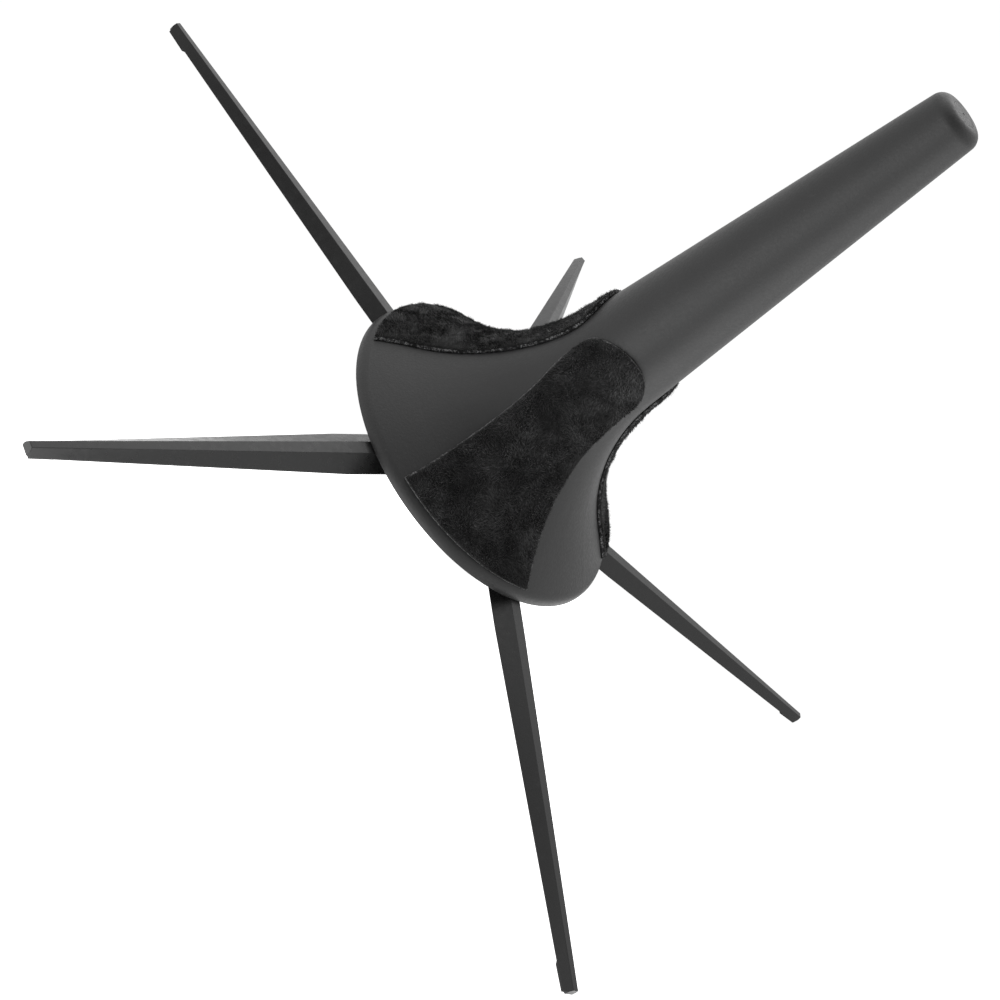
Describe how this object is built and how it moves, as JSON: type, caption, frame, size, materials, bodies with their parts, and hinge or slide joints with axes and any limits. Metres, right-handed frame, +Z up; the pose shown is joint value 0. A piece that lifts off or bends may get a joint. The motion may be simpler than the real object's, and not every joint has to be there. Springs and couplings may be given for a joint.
{
  "type": "trumpet stand",
  "caption": "Folding in-bell stand: a tapered peg with a flared, padded skirt on slim radial legs that fold for storage inside it.",
  "frame": {"origin": "on the peg's axis at floor level, in the middle of the circle of feet", "axes": "+Z up along the peg's axis; one leg points along -X"},
  "size_m": [0.2993, 0.3148, 0.1837],
  "materials": {
    "cone_plastic": "fine matte grain",
    "inner_plastic": "smooth matte",
    "hub_plastic": "smooth matte",
    "leg_plastic": "satin, smooth",
    "velour": "short black pile",
    "foot_rubber": "matte",
    "ring_rubber": "smooth",
    "steel": "turned"
  },
  "bodies": {
    "base": {"hub_body": "hub_plastic", "hub_cover": "hub_plastic", "hub_screw": "steel", "grip_ring": "ring_rubber", "leg_pin_1": "steel", "leg_pin_2": "steel", "leg_pin_3": "steel", "leg_pin_4": "steel", "leg_pin_5": "steel"},
    "cone": {"cone_shell": "cone_plastic", "hub_socket": "inner_plastic", "end_plug": "cone_plastic", "bell_pad_1": "velour", "bell_pad_2": "velour", "bell_pad_3": "velour"},
    "folding_leg_1": {"leg_1": "leg_plastic", "leg_foot_1": "foot_rubber"},
    "folding_leg_2": {"leg_2": "leg_plastic", "leg_foot_2": "foot_rubber"},
    "folding_leg_3": {"leg_3": "leg_plastic", "leg_foot_3": "foot_rubber"},
    "folding_leg_4": {"leg_4": "leg_plastic", "leg_foot_4": "foot_rubber"},
    "folding_leg_5": {"leg_5": "leg_plastic", "leg_foot_5": "foot_rubber"}
  },
  "joints": [
    {"name": "cone_lift", "type": "slide", "parent": "base", "child": "cone", "axis": [0, 0, 1], "range_m": [0, 0.2]},
    {"name": "leg_fold_1", "type": "hinge", "parent": "base", "child": "folding_leg_1", "pos_m": [-0.011, 0, 0.01115], "axis": [0, 1, 0], "range_deg": [0, 96]},
    {"name": "leg_fold_2", "type": "hinge", "parent": "base", "child": "folding_leg_2", "pos_m": [-0.0034, -0.01046, 0.01115], "axis": [-0.9511, 0.309, 0], "range_deg": [0, 96]},
    {"name": "leg_fold_3", "type": "hinge", "parent": "base", "child": "folding_leg_3", "pos_m": [0.0089, -0.00647, 0.01115], "axis": [-0.5878, -0.809, 0], "range_deg": [0, 96]},
    {"name": "leg_fold_4", "type": "hinge", "parent": "base", "child": "folding_leg_4", "pos_m": [0.0089, 0.00647, 0.01115], "axis": [0.5878, -0.809, 0], "range_deg": [0, 96]},
    {"name": "leg_fold_5", "type": "hinge", "parent": "base", "child": "folding_leg_5", "pos_m": [-0.0034, 0.01046, 0.01115], "axis": [0.9511, 0.309, 0], "range_deg": [0, 96]}
  ],
  "couplings": [
    {"joint": "leg_fold_1", "follows": "cone_lift", "rad_per_m": 8.37},
    {"joint": "leg_fold_2", "follows": "cone_lift", "rad_per_m": 8.37},
    {"joint": "leg_fold_3", "follows": "cone_lift", "rad_per_m": 8.37},
    {"joint": "leg_fold_4", "follows": "cone_lift", "rad_per_m": 8.37},
    {"joint": "leg_fold_5", "follows": "cone_lift", "rad_per_m": 8.37}
  ]
}
